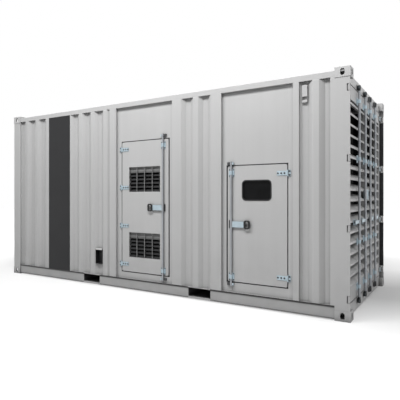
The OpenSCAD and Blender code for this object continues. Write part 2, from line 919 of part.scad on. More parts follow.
module louvre_door_slats() {
    color(dark_grey) at_vents() slat_set();
}

// The window's outline, centred
module window_plan(grow) {
    rounded_plan(window_w + 2 * grow, window_h + 2 * grow, window_r + grow);
}

// Place a plan of (x, z) at the window's centre between two depths from the leaf's face
module at_window(d0, d1) {
    translate([door2_s + window_in + window_w / 2, leaf_d, door2_z + window_z + window_h / 2])
        along_y(d0, d1) children();
}

module window_door_leaf() {
    color(grey) front_side() difference() {
        door_slab(door2_s, door2_w, door2_z, door2_h);
        at_window(-cut, leaf_t + cut) window_plan(0);
    }
}

module window_gasket() {
    bead = 4;
    color(black) front_side() {
        at_window(-bead, 0) difference() {
            window_plan(gasket_w / 2);
            window_plan(-gasket_w / 2);
        }
        at_window(0, leaf_t / 2 - pane_t / 2) difference() {
            window_plan(0);
            window_plan(-gasket_w / 2);
        }
    }
}

module window_pane() {
    color([0.05, 0.05, 0.06, 0.8]) front_side()
        at_window(leaf_t / 2 - pane_t / 2, leaf_t / 2 + pane_t / 2) window_plan(0);
}

// Lock rods, guides and keepers

// A lock rod along Z from its bottom to its top, with a cam near each end and a handle
// that points along +X; the rod turns on its own axis
module lock_rod(r, z0, z1, handle_z, handle_l, grip_h) {
    cam_l = 36;
    hub_h = grip_h + 14;
    translate([0, 0, z0]) cylinder(r = r, h = z1 - z0);
    for (z = [z0 + cam_end, z1 - cam_end - cam_h]) {
        translate([0, 0, z]) cylinder(r = r + 2, h = cam_h);
        block([0, -r / 2, z], [cam_l, r / 2, z + cam_h]);
    }
    translate([0, 0, handle_z - hub_h / 2]) cylinder(r = r + 2, h = hub_h);
    translate([handle_l / 2, 0, handle_z]) along_y(-handle_t / 2, handle_t / 2)
        rounded_plan(handle_l, grip_h, handle_t);
}

// A guide for a lock rod: a plate on the leaf's face and a ring round the rod, the face at +Y
module rod_guide(r, face, tall) {
    plate_w = 82;
    plate_t = 4;
    ring_h = tall / 2;
    ring_t = 4;
    difference() {
        union() {
            block([-plate_w / 2, face - plate_t, -tall / 2], [plate_w / 2, face, tall / 2]);
            cylinder(r = r + ring_t, h = ring_h, center = true);
            block([-r - ring_t, 0, -ring_h / 2], [r + ring_t, face - plate_t, ring_h / 2]);
        }
        cylinder(r = r + run_fit, h = tall + cut, center = true);
    }
}

// A catch for a handle: cheeks above and below it on a plate, the face at +Y
module handle_catch(face, grip_h) {
    gap = 5;
    inner = grip_h / 2 + gap;
    cheek = 10;
    wide = 44;
    plate_t = 6;
    along_y(face - plate_t, face) rounded_plan(wide, 2 * inner + 2 * cheek, cheek);
    for (side = [-1, 1]) block(
        [-wide / 2 + cheek, -handle_t, side * (inner + cheek / 2) - cheek / 2],
        [wide / 2 - cheek, face - plate_t, side * (inner + cheek / 2) + cheek / 2]
    );
}

// A keeper for a cam: a plate behind it and an ear on the side of -X, the face at +Y
module keeper(r, face, tall, ear_w) {
    plate_t = 3;
    gap = 6;
    ear_x = -r - 2 - gap;
    block([ear_x - ear_w, face - plate_t, -tall / 2], [r + 2 * gap, face, tall / 2]);
    block([ear_x - ear_w, 0, -tall / 2], [ear_x, face, tall / 2]);
}

// Distance from the rod's axis to the leaf's face
side_face = leaf_d - side_rod_d;
// Distance from a lock rod's end to the middle of its cam
cam_mid = cam_end + cam_h / 2;

// The ring grip in front of the end of a side door's handle plate, which points along +X
module ring_grip() {
    thick = 10;
    lap = 14;
    side = 26;
    edge = 17;
    outer_r = 30;
    inner_r = 14;
    translate([side_handle_l - lap + grip_ring_w / 2, 0, 0])
        along_y(-handle_t / 2 - thick, -handle_t / 2) difference() {
            rounded_plan(grip_ring_w, grip_ring_h, outer_r);
            rounded_plan(grip_ring_w - 2 * side, grip_ring_h - 2 * edge, inner_r);
        }
}

module louvre_door_guides() {
    color(zinc) front_side() for (z = [door1_z + guide_low_in, door1_z + door1_h - guide_top_in])
        translate([rod1_s, side_rod_d, z]) rod_guide(side_rod_r, side_face, side_guide_h);
}

module louvre_door_rod() {
    low = door1_z - rod_past1;
    high = door1_z + door1_h + rod_past1;
    color(zinc) front_side() translate([rod1_s, side_rod_d, 0]) mirror([1, 0, 0])
        lock_rod(side_rod_r, low, high, door1_z + handle1_z, side_handle_l, side_grip_h);
}

module louvre_door_grip() {
    color(black) front_side() translate([rod1_s, side_rod_d, door1_z + handle1_z])
        mirror([1, 0, 0]) ring_grip();
}

module window_door_guides() {
    color(zinc) front_side() for (z = [door2_z + guide_low_in, door2_z + door2_h - guide_top_in])
        translate([rod2_s, side_rod_d, z]) rod_guide(side_rod_r, side_face, side_guide_h);
}

module window_door_rod() {
    low = door2_z - rod_past2;
    high = door2_z + door2_h + rod_past2;
    color(zinc) front_side() translate([rod2_s, side_rod_d, 0])
        lock_rod(side_rod_r, low, high, door2_z + handle2_z, side_handle_l, side_grip_h);
}

module window_door_grip() {
    color(black) front_side() translate([rod2_s, side_rod_d, door2_z + handle2_z]) ring_grip();
}

module side_keepers() {
    face = panel_d - side_rod_d;
    tall = 36;
    ear_w = 36;
    color(zinc) front_side() {
        for (z = [door1_z - rod_past1 + cam_mid, door1_z + door1_h + rod_past1 - cam_mid])
            translate([rod1_s, side_rod_d, z]) mirror([1, 0, 0]) keeper(side_rod_r, face, tall, ear_w);
        for (z = [door2_z - rod_past2 + cam_mid, door2_z + door2_h + rod_past2 - cam_mid])
            translate([rod2_s, side_rod_d, z]) keeper(side_rod_r, face, tall, ear_w);
    }
}

// End doors, drawn for the leaf on the -Y side

leaf_w = end_edge - end_gap / 2;
open_w = leaf_w - hinge_stile - meeting_stile;
open_z = end_z + leaf_bottom_rail;
open_h = end_top - leaf_top_rail - open_z;

module leaf_stiles() {
    block([end_back, -end_edge, end_z], [end_face, -end_edge + hinge_stile, end_top]);
    block([end_back, -end_gap / 2 - meeting_stile, end_z], [end_face, -end_gap / 2, end_top]);
}

module leaf_rails() {
    from = -end_edge + hinge_stile;
    to = -end_gap / 2 - meeting_stile;
    block([end_back, from, end_z], [end_face, to, open_z]);
    block([end_back, from, open_z + open_h], [end_face, to, end_top]);
}

// Blades that slope outwards and down, each with a turned-down front edge
module leaf_louvres() {
    pitch = (open_h - louvre_top_in - slip) / (louvre_count - 1);
    from = -end_edge + hinge_stile;
    for (i = [0:louvre_count - 1]) along_y(from, from + open_w) intersection() {
        translate([end_face, open_z + slip + i * pitch]) polygon([
            [-louvre_t, 0], [0, 0], [0, louvre_lip], [-end_leaf_t, louvre_lip + louvre_rise],
            [-end_leaf_t, louvre_lip + louvre_rise - louvre_t], [-louvre_t, louvre_lip - louvre_t]
        ]);
        translate([end_back, open_z]) square([end_leaf_t, open_h]);
    }
}

// Knuckles round the post's pins, with blades on the leaf's face
module leaf_hinges() {
    tall = notch_h - 2 * end_clear - slip;
    neck = 16;
    for (z = end_hinge_heights) translate([end_pin_x, -end_pin_y, z]) difference() {
        union() {
            cylinder(r = end_knuckle_r, h = tall, center = true);
            block([end_face - end_pin_x, 0, -tall / 2], [0, neck, tall / 2]);
            block(
                [end_face - end_pin_x, 0, -tall / 2],
                [end_face - end_pin_x + end_blade_t, end_blade_l, tall / 2]
            );
        }
        cylinder(r = end_pin_r + run_fit, h = tall + cut, center = true);
    }
}

// Distance from the end rods' axes to the leaf's face
end_rod_face = rod_x - end_face;
// Heights of the guides on the end lock rods
end_guide_heights = [
    end_z + guide_edge, end_z + guide_edge + guide_low_step,
    end_top - guide_edge - guide_high_step, end_top - guide_edge
];

// Turn a fitting drawn with its face at +Y so that its face is at -X
module on_end(y, z) {
    translate([rod_x, y, z]) rotate([0, 0, 90]) children();
}

// Guides, catches and half of the lock plate
module leaf_guides() {
    plate_low = end_handle_z + lock_plate_up;
    plate_t = 10;
    plate_off = 20;
    for (y = [-rod_outer, -rod_inner]) {
        for (z = end_guide_heights) on_end(y, z) rod_guide(end_rod_r, end_rod_face, end_guide_h);
        on_end(y - end_handle_l + catch_in, end_handle_z) handle_catch(end_rod_face, end_grip_h);
    }
    block(
        [end_face, -rod_inner + end_rod_r + plate_off, plate_low],
        [end_face + plate_t, -end_gap / 2, plate_low + lock_plate_h]
    );
}

// A lock rod of the leaf on the -Y side, its handle pointing along -Y
module end_rod(y) {
    translate([rod_x, y, 0]) rotate([0, 0, -90])
        lock_rod(end_rod_r, end_z - rod_below, end_top + rod_above, end_handle_z, end_handle_l, end_grip_h);
}

module near_leaf_stiles() {
    color(grey) leaf_stiles();
}

module near_leaf_rails() {
    color(grey) leaf_rails();
}

module near_leaf_louvres() {
    color(grey) leaf_louvres();
}

module near_leaf_hinges() {
    color(grey) leaf_hinges();
}

module near_leaf_guides() {
    color(zinc) leaf_guides();
}

module near_outer_rod() {
    color(zinc) end_rod(-rod_outer);
}

module near_inner_rod() {
    color(zinc) end_rod(-rod_inner);
}

module far_leaf_stiles() {
    color(grey) mirror([0, 1, 0]) leaf_stiles();
}

module far_leaf_rails() {
    color(grey) mirror([0, 1, 0]) leaf_rails();
}

module far_leaf_louvres() {
    color(grey) mirror([0, 1, 0]) leaf_louvres();
}

module far_leaf_hinges() {
    color(grey) mirror([0, 1, 0]) leaf_hinges();
}

module far_leaf_guides() {
    color(zinc) mirror([0, 1, 0]) leaf_guides();
}

module far_outer_rod() {
    color(zinc) mirror([0, 1, 0]) end_rod(-rod_outer);
}

module far_inner_rod() {
    color(zinc) mirror([0, 1, 0]) end_rod(-rod_inner);
}

module end_keepers() {
    heights = [end_z - rod_below + cam_mid, end_top + rod_above - cam_mid];
    tall = 64;
    ear_w = 10;
    color(zinc) both_sides() for (y = [-rod_outer, -rod_inner]) for (z = heights)
        translate([rod_x, y, z]) mirror([0, 1, 0]) rotate([0, 0, 90])
            keeper(end_rod_r, end_rod_face, tall, ear_w);
}

// Small fittings

// A tray let into the wall, with a round button on its back
module switch_box() {
    wall = 4;
    button_r = 22;
    button_h = 24;
    button_z = 138;
    color(black) front_side() translate([box_s, wall_inset, box_z]) {
        difference() {
            cube([box_w, box_d, box_h]);
            translate([wall, -cut, wall]) cube([box_w - 2 * wall, box_d - wall + cut, box_h - 2 * wall]);
        }
        translate([box_w / 2, box_d - wall, button_z]) rotate([90, 0, 0])
            cylinder(r = button_r, h = button_h);
    }
}

// A sloping hood on top of the switch box, clear of the trough's slopes
module switch_box_hood() {
    lip = 3;
    hood_h = 26;
    hood_d = 14;
    color(grey) front_side() translate([box_s, wall_inset, box_z + box_h]) along_x(0, box_w)
        polygon([[-lip, 0], [hood_d, 0], [hood_d, hood_h], [hood_d - lip, hood_h], [-lip, lip]]);
}

// A small hooded ventilator in a trough of the wall, open low on its front
module wall_vent() {
    slot_z = 27;
    slot_h = 44;
    wall = 3;
    out = wall_inset + wave_d - wall_vent_d;
    color(grey) front_side() translate([wall_vent_s, out, wall_vent_z]) difference() {
        cube([wall_vent_w, wall_vent_d, wall_vent_h]);
        translate([wall, -cut, slot_z]) cube([wall_vent_w - 2 * wall, wall_vent_d - wall + cut, slot_h]);
    }
}

bottom_castings();
top_castings();
blind_end_posts();
louvre_end_posts();
bottom_side_rails();
fork_straps();
top_side_rails();
blind_end_rails();
louvre_end_rails();
cross_members();
fork_pocket_sides();
fork_pocket_plates();
floor_plate();
roof_panel();
blind_end_wall();
back_wall();
front_wall_left();
front_wall_middle();
front_wall_right();
sign_panel();
bay_posts();
bay_jambs();
bay_panels();
side_hinge_plates();
side_keepers();
end_keepers();
switch_box();
switch_box_hood();
wall_vent();
louvre_door_leaf();
louvre_door_vents();
louvre_door_slats();
louvre_door_hinges();
louvre_door_guides();
louvre_door_rod();
louvre_door_grip();
window_door_leaf();
window_gasket();
window_pane();
window_door_hinges();
window_door_guides();
window_door_rod();
window_door_grip();
near_leaf_stiles();
near_leaf_rails();
near_leaf_louvres();
near_leaf_hinges();
near_leaf_guides();
near_outer_rod();
near_inner_rod();
far_leaf_stiles();
far_leaf_rails();
far_leaf_louvres();
far_leaf_hinges();
far_leaf_guides();
far_outer_rod();
far_inner_rod();
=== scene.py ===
import json
import math

import bmesh
import bpy
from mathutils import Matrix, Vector


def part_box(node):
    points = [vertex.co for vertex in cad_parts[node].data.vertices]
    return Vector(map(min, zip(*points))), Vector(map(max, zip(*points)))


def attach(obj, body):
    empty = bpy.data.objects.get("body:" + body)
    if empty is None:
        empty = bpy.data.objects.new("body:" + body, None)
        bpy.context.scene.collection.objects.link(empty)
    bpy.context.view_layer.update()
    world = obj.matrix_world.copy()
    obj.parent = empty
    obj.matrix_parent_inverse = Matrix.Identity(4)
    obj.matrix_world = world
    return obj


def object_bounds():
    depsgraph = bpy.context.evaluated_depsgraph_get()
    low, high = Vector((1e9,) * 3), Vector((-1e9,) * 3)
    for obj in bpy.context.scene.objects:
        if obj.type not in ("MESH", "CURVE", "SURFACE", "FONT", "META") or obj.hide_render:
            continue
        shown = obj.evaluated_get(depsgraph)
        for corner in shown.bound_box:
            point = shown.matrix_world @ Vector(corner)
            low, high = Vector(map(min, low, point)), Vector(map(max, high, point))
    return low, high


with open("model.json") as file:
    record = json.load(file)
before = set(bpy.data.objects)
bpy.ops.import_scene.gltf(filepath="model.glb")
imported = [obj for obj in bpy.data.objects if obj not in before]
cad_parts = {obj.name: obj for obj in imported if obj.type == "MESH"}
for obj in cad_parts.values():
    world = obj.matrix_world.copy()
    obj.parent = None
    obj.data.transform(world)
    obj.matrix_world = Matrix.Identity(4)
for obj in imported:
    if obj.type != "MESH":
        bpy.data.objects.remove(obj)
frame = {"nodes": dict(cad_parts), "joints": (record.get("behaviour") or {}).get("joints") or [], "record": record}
cad_low, cad_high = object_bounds()
nodes = frame["nodes"]
joints = {j["name"]: j for j in frame["joints"]}
MM = 0.001
NOISE_SPAN = (0.3, 0.7)  # where nearly all values of a noise lie
PAINT_ROUGH = 0.36
SHEET_ROUGH = 0.34
FRAME_EDGE = 4 * MM
SHEET_EDGE = 12 * MM
# painted shade: how much darker the paint gets towards the ground, and the height it reaches
GROUND_SHADE = 0.12
GROUND_SHADE_TOP = 0.9
GREY = (0.545, 0.545, 0.545)
# a darker copy of GREY: painted shade on the set-back bottom rail
RAIL_SHADED_GREY = (0.48, 0.48, 0.48)
# near black on the faces towards the room: painted shade for the unlit inside
INSIDE_SHADE = (0.016, 0.016, 0.017)
SIGN_GREY = (0.024, 0.024, 0.0255)
UNDERFRAME = (0.085, 0.085, 0.085)
SLAT_BLACK = (0.022, 0.022, 0.023)
ZINC = (0.46, 0.555, 0.61)
DULL_ZINC = (0.35, 0.365, 0.385)
DARK_ZINC = (0.07, 0.072, 0.075)
ZINC_ROUGH = 0.40
PLASTIC_BLACK = (0.012, 0.012, 0.013)
RUBBER_BLACK = (0.020, 0.020, 0.021)
GLASS_BLACK = (0.006, 0.0062, 0.0066)
OUT_SIDE = Vector((0, -1, 0))
OUT_END = Vector((1, 0, 0))


# Material helpers

def new_material(name):
    """A node material, with its tree and its Principled shader."""
    material = bpy.data.materials.new(name)
    material.use_nodes = True
    tree = material.node_tree
    return material, tree, tree.nodes["Principled BSDF"]


def add(tree, kind, values=None, **settings):
    """One shader node, its unlinked inputs from values and its settings from keywords."""
    node = tree.nodes.new(kind)
    for key, value in settings.items():
        setattr(node, key, value)
    for key, value in (values or {}).items():
        node.inputs[key].default_value = value
    return node


def object_place(tree, scale=(1, 1, 1)):
    """Object coordinates stretched by a scale, so that a pattern rides with its piece."""
    coords = add(tree, "ShaderNodeTexCoord")
    mapping = add(tree, "ShaderNodeMapping", {"Scale": scale})
    tree.links.new(coords.outputs["Object"], mapping.inputs["Vector"])
    return mapping.outputs["Vector"]


def noise(tree, place, scale, detail, roughness=0.5):
    """Soft random values over a surface."""
    node = add(tree, "ShaderNodeTexNoise", {"Scale": scale, "Detail": detail, "Roughness": roughness})
    tree.links.new(place, node.inputs["Vector"])
    return node.outputs["Fac"]


def remap(tree, value, from_range, to_range):
    """A value carried from one range to another and held at its ends."""
    node = add(tree, "ShaderNodeMapRange", {
        "From Min": from_range[0], "From Max": from_range[1],
        "To Min": to_range[0], "To Max": to_range[1],
    })
    tree.links.new(value, node.inputs["Value"])
    return node.outputs["Result"]


def math_node(tree, operation, a, b=0.0):
    """A maths node on one or two values, each a number or a socket."""
    node = add(tree, "ShaderNodeMath", operation=operation)
    for socket, value in zip(node.inputs, (a, b)):
        if isinstance(value, (int, float)):
            socket.default_value = value
        else:
            tree.links.new(value, socket)
    return node.outputs["Value"]


def split_xyz(tree, vector):
    """The three parts of a vector, by the names X, Y and Z."""
    node = add(tree, "ShaderNodeSeparateXYZ")
    tree.links.new(vector, node.inputs["Vector"])
    return node.outputs


def shade(tree, colour, factor):
    """A colour times a factor that varies over the surface."""
    node = add(tree, "ShaderNodeVectorMath", operation="SCALE")
    node.inputs[0].default_value = colour
    tree.links.new(factor, node.inputs["Scale"])
    return node.outputs["Vector"]


def mix_colour(tree, factor, a, b):
    """Colour a where the factor is 0 and b where it is 1."""
    node = add(tree, "ShaderNodeMix", data_type="RGBA")
    for socket, value in ((node.inputs[6], a), (node.inputs[7], b)):
        if isinstance(value, tuple):
            socket.default_value = (*value, 1)
        else:
            tree.links.new(value, socket)
    tree.links.new(factor, node.inputs[0])
    return node.outputs[2]


def edge_mask(tree, bevel):
    """Near 1 on the edges that the bevel rounds, and 0 on the flats."""
    geometry = add(tree, "ShaderNodeNewGeometry")
    dot = add(tree, "ShaderNodeVectorMath", operation="DOT_PRODUCT")
    tree.links.new(bevel.outputs["Normal"], dot.inputs[0])
    tree.links.new(geometry.outputs["Normal"], dot.inputs[1])
    return remap(tree, dot.outputs["Value"], (0.995, 0.9), (0, 1))


def bump(tree, height, distance, strength, normal):
    """A normal disturbed by a height."""
    node = add(tree, "ShaderNodeBump", {"Distance": distance, "Strength": strength})
    tree.links.new(height, node.inputs["Height"])
    tree.links.new(normal, node.inputs["Normal"])
    return node.outputs["Normal"]


def inside_mask(tree, place, axis, middle):
    """1 on the faces that look towards the middle of the housing along one axis."""
    geometry = add(tree, "ShaderNodeNewGeometry")
    facing, where = split_xyz(tree, geometry.outputs["Normal"]), split_xyz(tree, place)
    off = math_node(tree, "SUBTRACT", where[axis], middle)
    return remap(tree, math_node(tree, "MULTIPLY", facing[axis], off), (0.0, -0.05), (0, 1))


def painted_crevice_shade(tree, reach, darkest, span):
    """Painted shade: 1 on open faces, falling to the darkest tone in corners and holes, over a span of openness.
    """
    hollow = add(tree, "ShaderNodeAmbientOcclusion", {"Distance": reach}, samples=4)
    return remap(tree, hollow.outputs["AO"], span, (darkest, 1.0))


def painted_shadow_lines(tree, place, tone, lines):
    """Painted shadow: a tone with dark lines on the upright faces; lines are (height, reach, darkest)."""
    geometry = add(tree, "ShaderNodeNewGeometry")
    facing, where = split_xyz(tree, geometry.outputs["Normal"]), split_xyz(tree, place)
    level = remap(tree, math_node(tree, "ABSOLUTE", facing["Z"]), (0.3, 0.6), (0, 1))
    for height, reach, darkest in lines:
        off = math_node(tree, "SUBTRACT", where["Z"], height)
        off = math_node(tree, "ABSOLUTE", off)
        line = remap(tree, off, (0.5 * reach, reach), (darkest, 1.0))
        tone = math_node(tree, "MULTIPLY", tone, math_node(tree, "MAXIMUM", line, level))
    return tone


def painted(name, colour, roughness, edge_radius, low_shade=0.0, gloss=0.5, inside_shade=None,
            reach=0.06, darkest=0.42, span=(0.15, 0.9), lines=()):
    """Sprayed paint on steel: cloudy tone, faint run-off streaks, painted shade that darkens the paint
    towards the ground in patches, painted shade in corners and recesses, a painted highlight on the
    rounded edges, wavy sheet and orange peel; the axis given for the room, with the middle of the room
    on it, paints the faces towards the room near black as painted shade for the unlit inside; lines
    are painted shadow lines."""
    material, tree, bsdf = new_material(name)
    place = object_place(tree)
    clouds = remap(tree, noise(tree, place, 1.1, 4.0), NOISE_SPAN, (0.98, 1.02))
    streaks = noise(tree, object_place(tree, (9, 9, 0.35)), 1.0, 5.0, 0.6)
    tone = math_node(tree, "MULTIPLY", clouds, remap(tree, streaks, (0.35, 0.75), (1.015, 0.975)))
    # painted shade: darker towards the ground, in patches
    if low_shade:
        low = remap(tree, split_xyz(tree, place)["Z"], (0.02, GROUND_SHADE_TOP), (low_shade, 0.0))
        patches = remap(tree, noise(tree, place, 5.0, 6.0), NOISE_SPAN, (0.5, 1.3))
        patchy = math_node(tree, "MULTIPLY", low, patches)
        tone = math_node(tree, "MULTIPLY", tone, math_node(tree, "SUBTRACT", 1.0, patchy))
    # painted shade in corners and recesses
    tone = math_node(tree, "MULTIPLY", tone, painted_crevice_shade(tree, reach, darkest, span))
    if lines:
        tone = painted_shadow_lines(tree, place, tone, lines)
    bevel = add(tree, "ShaderNodeBevel", {"Radius": edge_radius}, samples=6)
    # painted highlight: a lighter grey on the rounded edges
    edge_highlight = tuple(min(1.0, 1.12 * c + 0.01) for c in colour)
    body = mix_colour(tree, edge_mask(tree, bevel), colour, edge_highlight)
    # painted shade: the faces towards the room are near black
    if inside_shade:
        body = mix_colour(tree, inside_mask(tree, place, *inside_shade), body, INSIDE_SHADE)
    scaled = add(tree, "ShaderNodeVectorMath", operation="SCALE")
    tree.links.new(body, scaled.inputs[0])
    tree.links.new(tone, scaled.inputs["Scale"])
    tree.links.new(scaled.outputs["Vector"], bsdf.inputs["Base Color"])
    spread = remap(tree, noise(tree, place, 3.0, 5.0), NOISE_SPAN,
                   (roughness - 0.05, roughness + 0.07))
    tree.links.new(spread, bsdf.inputs["Roughness"])
    wavy = bump(tree, noise(tree, place, 2.2, 2.0), 0.004, 0.18, bevel.outputs["Normal"])
    peel = bump(tree, noise(tree, place, 420.0, 2.0), 0.0004, 0.25, wavy)
    tree.links.new(peel, bsdf.inputs["Normal"])
    bsdf.inputs["Specular IOR Level"].default_value = gloss
    return material


def vent_painted_shade(name, colour, face):
    """Paint on the bars and the plate of a vent, by the depth behind the door's face: painted shade that
    makes the bars darker, and painted shade on the plate, darkest at its lower edge near the face, with a random
    mottle."""
    material, tree, bsdf = new_material(name)
    place = object_place(tree)
    depth = math_node(tree, "SUBTRACT", split_xyz(tree, place)["Y"], face)
    # painted shade by depth: bars darker, and the plate darkest near the face, lighter deeper in
    tone = remap(tree, depth, (0.012, 0.014), (0.42, 0.10))
    tone = math_node(tree, "ADD", tone, remap(tree, depth, (0.014, 0.037), (0.0, 0.60)))
    soot = remap(tree, noise(tree, place, 18.0, 4.0), NOISE_SPAN, (0.88, 1.1))
    tone = math_node(tree, "MULTIPLY", tone, soot)
    tree.links.new(shade(tree, colour, tone), bsdf.inputs["Base Color"])
    rough = remap(tree, noise(tree, place, 12.0, 4.0), NOISE_SPAN, (0.40, 0.55))
    tree.links.new(rough, bsdf.inputs["Roughness"])
    bevel = add(tree, "ShaderNodeBevel", {"Radius": 0.002}, samples=4)
    grain = bump(tree, noise(tree, place, 300.0, 2.0), 0.0004, 0.25, bevel.outputs["Normal"])
    tree.links.new(grain, bsdf.inputs["Normal"])
    bsdf.inputs["Specular IOR Level"].default_value = 0.3
    return material


def zinc_plated(name, colour, roughness, ends=None, rod=None):
    """Zinc plate: blue-white metal with a faint spangle and dull patches; ends are the heights
    beyond which a lock rod is made dark, and rod is an axis with the place on it of a rod
    that is duller than its handle."""
    material, tree, bsdf = new_material(name)
    place = object_place(tree)
    cells = add(tree, "ShaderNodeTexVoronoi", {"Scale": 130.0})
    tree.links.new(place, cells.inputs["Vector"])
    spangle = remap(tree, cells.outputs["Distance"], (0.0, 0.8), (0.94, 1.05))
    patches = remap(tree, noise(tree, place, 14.0, 5.0), NOISE_SPAN, (0.92, 1.04))
    tone = math_node(tree, "MULTIPLY", spangle, patches)
    where = split_xyz(tree, place)
    # beyond the given heights the rod is made dark
    for height, step in zip(ends or (), (-0.01, 0.01)):
        dark_end = remap(tree, where["Z"], (height, height + step), (1.0, 0.12))
        tone = math_node(tree, "MULTIPLY", tone, dark_end)
    plated = shade(tree, colour, tone)
    if rod:
        axis, middle = rod
        off = math_node(tree, "SUBTRACT", where[axis], middle)
        off = math_node(tree, "ABSOLUTE", off)
        on_rod = remap(tree, off, (18 * MM, 21 * MM), (1, 0))
        plated = mix_colour(tree, on_rod, plated, shade(tree, DULL_ZINC, tone))
    tree.links.new(plated, bsdf.inputs["Base Color"])
    rough = remap(tree, noise(tree, place, 22.0, 4.0), NOISE_SPAN,
                  (roughness - 0.08, roughness + 0.10))
    tree.links.new(rough, bsdf.inputs["Roughness"])
    bevel = add(tree, "ShaderNodeBevel", {"Radius": 0.002}, samples=6)
    relief = bump(tree, cells.outputs["Distance"], 0.0003, 0.2, bevel.outputs["Normal"])
    tree.links.new(relief, bsdf.inputs["Normal"])
    bsdf.inputs["Metallic"].default_value = 0.45
    return material


def moulded(name, colour, roughness, grain):
    """Rubber or plastic: dusty tone and a fine moulded grain."""
    material, tree, bsdf = new_material(name)
    place = object_place(tree)
    dust = remap(tree, noise(tree, place, 9.0, 6.0), (0.3, 0.75), (0.8, 1.5))
    tree.links.new(shade(tree, colour, dust), bsdf.inputs["Base Color"])
    rough = remap(tree, noise(tree, place, 30.0, 3.0), NOISE_SPAN,
                  (roughness - 0.06, roughness + 0.06))
    tree.links.new(rough, bsdf.inputs["Roughness"])
    bevel = add(tree, "ShaderNodeBevel", {"Radius": 0.0025}, samples=4)
    relief = bump(tree, noise(tree, place, grain, 2.0), 0.0005, 0.3, bevel.outputs["Normal"])
    tree.links.new(relief, bsdf.inputs["Normal"])
    bsdf.inputs["Specular IOR Level"].default_value = 0.35
    return material


def tinted_glass(name):
    """Dark tinted pane with a faint film of dust."""
    material, tree, bsdf = new_material(name)
    place = object_place(tree)
    film = remap(tree, noise(tree, place, 3.5, 5.0), (0.35, 0.7), (0.6, 1.6))
    tree.links.new(shade(tree, GLASS_BLACK, film), bsdf.inputs["Base Color"])
    rough = remap(tree, noise(tree, place, 16.0, 5.0), NOISE_SPAN, (0.03, 0.10))
    tree.links.new(rough, bsdf.inputs["Roughness"])
    geometry = add(tree, "ShaderNodeNewGeometry")
    wavy = bump(tree, noise(tree, place, 2.5, 1.0), 0.002, 0.1, geometry.outputs["Normal"])
    tree.links.new(wavy, bsdf.inputs["Normal"])
    bsdf.inputs["Specular IOR Level"].default_value = 0.1
    return material


# Materials

paint = painted("grey_paint", GREY, PAINT_ROUGH, FRAME_EDGE, low_shade=GROUND_SHADE)
# wide painted shade, which darkens the troughs of the corrugated sheets
wide_crevice_shade = {"reach": 0.25, "darkest": 0.58, "span": (0.5, 1.0)}
side_sheet = painted("grey_side_sheet", GREY, SHEET_ROUGH, SHEET_EDGE, low_shade=GROUND_SHADE,
                     inside_shade=("Y", 0.0), **wide_crevice_shade)
end_sheet = painted("grey_end_sheet", GREY, SHEET_ROUGH, SHEET_EDGE, low_shade=GROUND_SHADE,
                    inside_shade=("X", 0.0), **wide_crevice_shade)
roof_sheet = painted("grey_roof_sheet", GREY, 0.55, SHEET_EDGE, gloss=0.2, inside_shade=("Z", 1.4))
sign_paint = painted("sign_paint", SIGN_GREY, 0.5, 2 * MM, low_shade=0.05, gloss=0.2)
frame_paint = painted("underframe_paint", UNDERFRAME, 0.6, 3 * MM, low_shade=0.25, gloss=0.3)
# near black on the slats, and on the lining round each vent opening, where it is painted shade for the opening's
# sides
slat_paint = painted("slat_paint", SLAT_BLACK, 0.6, 2 * MM, gloss=0.2)
rail_low, rail_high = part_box("bottom_side_rails")
# painted shadow lines on the rail: under the wall's overhang at its top, and in the gap under it at its bottom
rail_paint = painted("rail_paint", RAIL_SHADED_GREY, PAINT_ROUGH, FRAME_EDGE, low_shade=0.15,
                     lines=((rail_high.z, 32 * MM, 0.05), (rail_low.z, 14 * MM, 0.12)))
# hinges: deep painted shade in their notches
hinge_paint = painted("hinge_paint", GREY, PAINT_ROUGH, 3 * MM, reach=0.08, darkest=0.02, span=(0.35, 0.95))
# castings: deep painted shade in their openings
casting_paint = painted("casting_paint", GREY, 0.42, 6 * MM, low_shade=0.15, reach=0.10, darkest=0.03)
vent_grey = vent_painted_shade("vent_painted_shade", GREY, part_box("louvre_door_leaf")[0].y)
zinc = zinc_plated("zinc_plate", ZINC, ZINC_ROUGH)
dark_zinc = zinc_plated("dark_zinc", DARK_ZINC, 0.5)
black = moulded("black_plastic", PLASTIC_BLACK, 0.45, 260.0)
rubber = moulded("seal_rubber", RUBBER_BLACK, 0.75, 180.0)
glass = tinted_glass("tinted_glass")

stile_low, stile_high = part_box("near_leaf_stiles")
rod_zinc = {}
for lock in ("near_outer", "near_inner", "far_outer", "far_inner"):
    rod_y = joints[lock + "_lock_turn"]["pos_m"][1]
    rod_zinc[lock + "_rod"] = zinc_plated(lock + "_zinc", ZINC, ZINC_ROUGH,
                                          (stile_low.z, stile_high.z), ("Y", rod_y))
for door in ("louvre_door", "window_door"):
    rod_x = joints[door + "_lock_turn"]["pos_m"][0]
    rod_zinc[door + "_rod"] = zinc_plated(door + "_zinc", ZINC, ZINC_ROUGH, None, ("X", rod_x))

by_slot = {
    "grey_paint": paint, "zinc": zinc, "underframe": frame_paint, "sign_grey": sign_paint,
    "black_plastic": black, "rubber": rubber, "dark_glass": glass,
}
by_node = {
    "back_wall": side_sheet, "blind_end_wall": end_sheet, "roof_panel": roof_sheet,
    "front_wall_left": side_sheet, "front_wall_middle": side_sheet, "front_wall_right": side_sheet,
    "end_keepers": dark_zinc, "side_keepers": dark_zinc,
    "louvre_door_vents": vent_grey, "louvre_door_slats": slat_paint,
    "bottom_castings": casting_paint, "top_castings": casting_paint,
    "bottom_side_rails": rail_paint, "near_leaf_hinges": hinge_paint, "far_leaf_hinges": hinge_paint,
    **rod_zinc,
}
for subpart in frame["record"]["subparts"]:
    name = subpart["node"]
    mesh = nodes[name].data
    mesh.materials.clear()
    mesh.materials.append(by_node.get(name, by_slot[subpart["material_slot"]]))


# Mesh helpers

